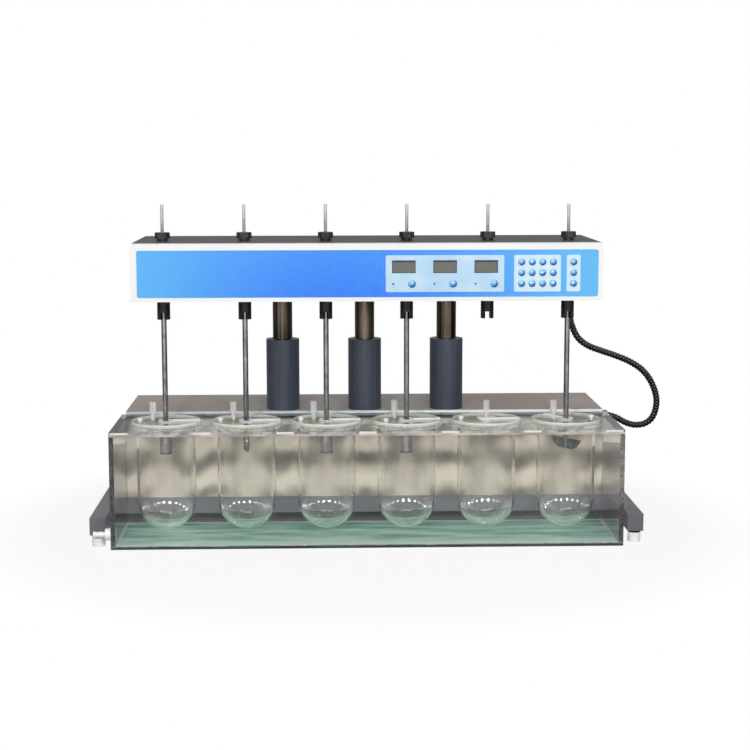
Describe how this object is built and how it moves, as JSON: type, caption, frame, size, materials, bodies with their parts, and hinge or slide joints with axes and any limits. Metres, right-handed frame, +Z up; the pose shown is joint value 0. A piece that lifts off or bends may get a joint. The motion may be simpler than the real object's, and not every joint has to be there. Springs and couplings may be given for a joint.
{
  "type": "dissolution tester",
  "caption": "Bench dissolution tester: clear water bath with round-bottom glass vessels, and a lifting drive head that turns basket and paddle stirrers.",
  "frame": {"origin": "middle of the footprint on the bench, halfway between the bath's front and the base's back", "axes": "+X to the user's right along the row of vessels, +Y away from the user, +Z up"},
  "size_m": [1.0827, 0.43, 0.6225],
  "materials": {
    "slate_paint": "satin",
    "cabinet_steel": "brushed",
    "foot_plastic": "matt",
    "sleeve_paint": "satin",
    "bath_acrylic": "clear",
    "drain_plastic": "gloss",
    "vessel_glass": "clear",
    "lid_acrylic": "clear",
    "chassis_metal": "satin",
    "cover_paint": "satin",
    "bezel_white": "satin",
    "overlay_blue": "gloss",
    "plate_blue": "gloss",
    "display_grey": "gloss",
    "board_green": "matt",
    "key_blue": "gloss",
    "column_chrome": "dark polished",
    "steel": "satin",
    "motor_black": "satin",
    "pulley_metal": "satin",
    "belt_rubber": "matt",
    "spindle_black": "satin",
    "stirrer_steel": "polished",
    "conduit_black": "satin",
    "inlet_black": "matt"
  },
  "bodies": {
    "base": {"base_frame": "slate_paint", "base_cabinet": "cabinet_steel", "levelling_feet": "foot_plastic", "column_sleeves": "sleeve_paint", "bath_tank": "bath_acrylic", "vessel_plate": "bath_acrylic", "drain_spigot": "drain_plastic", "vessels": "vessel_glass", "lift_actuator": "steel", "power_inlet": "inlet_black", "flex_conduit": "conduit_black"},
    "head": {"head_chassis": "chassis_metal", "head_cover": "cover_paint", "head_bezel": "bezel_white", "front_overlay": "overlay_blue", "control_plates": "plate_blue", "display_windows": "display_grey", "control_board": "board_green", "lift_columns": "column_chrome", "lift_rod": "steel", "spindle_bearings": "steel", "drive_motor": "motor_black", "timing_belt": "belt_rubber"},
    "motor_rotor": {"motor_pulley": "pulley_metal"},
    "spindle_set_1": {"spindle_1": "spindle_black", "basket_shaft_1": "stirrer_steel"},
    "spindle_set_2": {"spindle_2": "spindle_black", "paddle_shaft_2": "stirrer_steel"},
    "spindle_set_3": {"spindle_3": "spindle_black", "basket_shaft_3": "stirrer_steel"},
    "spindle_set_4": {"spindle_4": "spindle_black", "basket_shaft_4": "stirrer_steel"},
    "spindle_set_5": {"spindle_5": "spindle_black"},
    "spindle_set_6": {"spindle_6": "spindle_black", "paddle_shaft_6": "stirrer_steel"},
    "lid_1": {"vessel_lid_1": "lid_acrylic"},
    "lid_2": {"vessel_lid_2": "lid_acrylic"},
    "lid_3": {"vessel_lid_3": "lid_acrylic"},
    "lid_4": {"vessel_lid_4": "lid_acrylic"},
    "lid_5": {"vessel_lid_5": "lid_acrylic"},
    "lid_6": {"vessel_lid_6": "lid_acrylic"},
    "display_key_1_cap": {"display_key_1": "key_blue"},
    "display_key_2_cap": {"display_key_2": "key_blue"},
    "display_key_3_cap": {"display_key_3": "key_blue"},
    "keypad_key_01_cap": {"keypad_key_01": "key_blue"},
    "keypad_key_02_cap": {"keypad_key_02": "key_blue"},
    "keypad_key_03_cap": {"keypad_key_03": "key_blue"},
    "keypad_key_04_cap": {"keypad_key_04": "key_blue"},
    "keypad_key_05_cap": {"keypad_key_05": "key_blue"},
    "keypad_key_06_cap": {"keypad_key_06": "key_blue"},
    "keypad_key_07_cap": {"keypad_key_07": "key_blue"},
    "keypad_key_08_cap": {"keypad_key_08": "key_blue"},
    "keypad_key_09_cap": {"keypad_key_09": "key_blue"},
    "keypad_key_10_cap": {"keypad_key_10": "key_blue"},
    "keypad_key_11_cap": {"keypad_key_11": "key_blue"},
    "keypad_key_12_cap": {"keypad_key_12": "key_blue"},
    "side_key_1_cap": {"side_key_1": "key_blue"},
    "side_key_2_cap": {"side_key_2": "key_blue"},
    "side_key_3_cap": {"side_key_3": "key_blue"}
  },
  "joints": [
    {"name": "head_lift", "type": "slide", "parent": "base", "child": "head", "axis": [0, 0, 1], "range_m": [-0.085, 0.03], "deforming": ["flex_conduit"]},
    {"name": "spindle_1_spin", "type": "hinge", "parent": "head", "child": "spindle_set_1", "pos_m": [-0.375, -0.11, 0.488], "axis": [0, 0, 1], "continuous": true},
    {"name": "spindle_2_spin", "type": "hinge", "parent": "head", "child": "spindle_set_2", "pos_m": [-0.225, -0.11, 0.488], "axis": [0, 0, 1], "continuous": true},
    {"name": "spindle_3_spin", "type": "hinge", "parent": "head", "child": "spindle_set_3", "pos_m": [-0.075, -0.11, 0.488], "axis": [0, 0, 1], "continuous": true},
    {"name": "spindle_4_spin", "type": "hinge", "parent": "head", "child": "spindle_set_4", "pos_m": [0.075, -0.11, 0.488], "axis": [0, 0, 1], "continuous": true},
    {"name": "spindle_5_spin", "type": "hinge", "parent": "head", "child": "spindle_set_5", "pos_m": [0.225, -0.11, 0.488], "axis": [0, 0, 1], "continuous": true},
    {"name": "spindle_6_spin", "type": "hinge", "parent": "head", "child": "spindle_set_6", "pos_m": [0.375, -0.11, 0.488], "axis": [0, 0, 1], "continuous": true},
    {"name": "motor_spin", "type": "hinge", "parent": "head", "child": "motor_rotor", "pos_m": [0, -0.11, 0.5], "axis": [0, 0, 1], "continuous": true},
    {"name": "lid_1_lift", "type": "slide", "parent": "base", "child": "lid_1", "axis": [0, 0, 1], "range_m": [0, 0.06]},
    {"name": "lid_2_lift", "type": "slide", "parent": "base", "child": "lid_2", "axis": [0, 0, 1], "range_m": [0, 0.06]},
    {"name": "lid_3_lift", "type": "slide", "parent": "base", "child": "lid_3", "axis": [0, 0, 1], "range_m": [0, 0.06]},
    {"name": "lid_4_lift", "type": "slide", "parent": "base", "child": "lid_4", "axis": [0, 0, 1], "range_m": [0, 0.06]},
    {"name": "lid_5_lift", "type": "slide", "parent": "base", "child": "lid_5", "axis": [0, 0, 1], "range_m": [0, 0.06]},
    {"name": "lid_6_lift", "type": "slide", "parent": "base", "child": "lid_6", "axis": [0, 0, 1], "range_m": [0, 0.06]},
    {"name": "display_key_1_press", "type": "slide", "parent": "head", "child": "display_key_1_cap", "axis": [0, 1, 0], "range_m": [0, 0.001], "stiffness_N_per_m": 900, "springref_m": -0.0005},
    {"name": "display_key_2_press", "type": "slide", "parent": "head", "child": "display_key_2_cap", "axis": [0, 1, 0], "range_m": [0, 0.001], "stiffness_N_per_m": 900, "springref_m": -0.0005},
    {"name": "display_key_3_press", "type": "slide", "parent": "head", "child": "display_key_3_cap", "axis": [0, 1, 0], "range_m": [0, 0.001], "stiffness_N_per_m": 900, "springref_m": -0.0005},
    {"name": "keypad_key_01_press", "type": "slide", "parent": "head", "child": "keypad_key_01_cap", "axis": [0, 1, 0], "range_m": [0, 0.001], "stiffness_N_per_m": 900, "springref_m": -0.0005},
    {"name": "keypad_key_02_press", "type": "slide", "parent": "head", "child": "keypad_key_02_cap", "axis": [0, 1, 0], "range_m": [0, 0.001], "stiffness_N_per_m": 900, "springref_m": -0.0005},
    {"name": "keypad_key_03_press", "type": "slide", "parent": "head", "child": "keypad_key_03_cap", "axis": [0, 1, 0], "range_m": [0, 0.001], "stiffness_N_per_m": 900, "springref_m": -0.0005},
    {"name": "keypad_key_04_press", "type": "slide", "parent": "head", "child": "keypad_key_04_cap", "axis": [0, 1, 0], "range_m": [0, 0.001], "stiffness_N_per_m": 900, "springref_m": -0.0005},
    {"name": "keypad_key_05_press", "type": "slide", "parent": "head", "child": "keypad_key_05_cap", "axis": [0, 1, 0], "range_m": [0, 0.001], "stiffness_N_per_m": 900, "springref_m": -0.0005},
    {"name": "keypad_key_06_press", "type": "slide", "parent": "head", "child": "keypad_key_06_cap", "axis": [0, 1, 0], "range_m": [0, 0.001], "stiffness_N_per_m": 900, "springref_m": -0.0005},
    {"name": "keypad_key_07_press", "type": "slide", "parent": "head", "child": "keypad_key_07_cap", "axis": [0, 1, 0], "range_m": [0, 0.001], "stiffness_N_per_m": 900, "springref_m": -0.0005},
    {"name": "keypad_key_08_press", "type": "slide", "parent": "head", "child": "keypad_key_08_cap", "axis": [0, 1, 0], "range_m": [0, 0.001], "stiffness_N_per_m": 900, "springref_m": -0.0005},
    {"name": "keypad_key_09_press", "type": "slide", "parent": "head", "child": "keypad_key_09_cap", "axis": [0, 1, 0], "range_m": [0, 0.001], "stiffness_N_per_m": 900, "springref_m": -0.0005},
    {"name": "keypad_key_10_press", "type": "slide", "parent": "head", "child": "keypad_key_10_cap", "axis": [0, 1, 0], "range_m": [0, 0.001], "stiffness_N_per_m": 900, "springref_m": -0.0005},
    {"name": "keypad_key_11_press", "type": "slide", "parent": "head", "child": "keypad_key_11_cap", "axis": [0, 1, 0], "range_m": [0, 0.001], "stiffness_N_per_m": 900, "springref_m": -0.0005},
    {"name": "keypad_key_12_press", "type": "slide", "parent": "head", "child": "keypad_key_12_cap", "axis": [0, 1, 0], "range_m": [0, 0.001], "stiffness_N_per_m": 900, "springref_m": -0.0005},
    {"name": "side_key_1_press", "type": "slide", "parent": "head", "child": "side_key_1_cap", "axis": [0, 1, 0], "range_m": [0, 0.001], "stiffness_N_per_m": 900, "springref_m": -0.0005},
    {"name": "side_key_2_press", "type": "slide", "parent": "head", "child": "side_key_2_cap", "axis": [0, 1, 0], "range_m": [0, 0.001], "stiffness_N_per_m": 900, "springref_m": -0.0005},
    {"name": "side_key_3_press", "type": "slide", "parent": "head", "child": "side_key_3_cap", "axis": [0, 1, 0], "range_m": [0, 0.001], "stiffness_N_per_m": 900, "springref_m": -0.0005}
  ],
  "couplings": [
    {"joint": "spindle_2_spin", "follows": "spindle_1_spin", "ratio": 1},
    {"joint": "spindle_3_spin", "follows": "spindle_1_spin", "ratio": 1},
    {"joint": "spindle_4_spin", "follows": "spindle_1_spin", "ratio": 1},
    {"joint": "spindle_5_spin", "follows": "spindle_1_spin", "ratio": 1},
    {"joint": "spindle_6_spin", "follows": "spindle_1_spin", "ratio": 1},
    {"joint": "motor_spin", "follows": "spindle_1_spin", "ratio": 1}
  ]
}
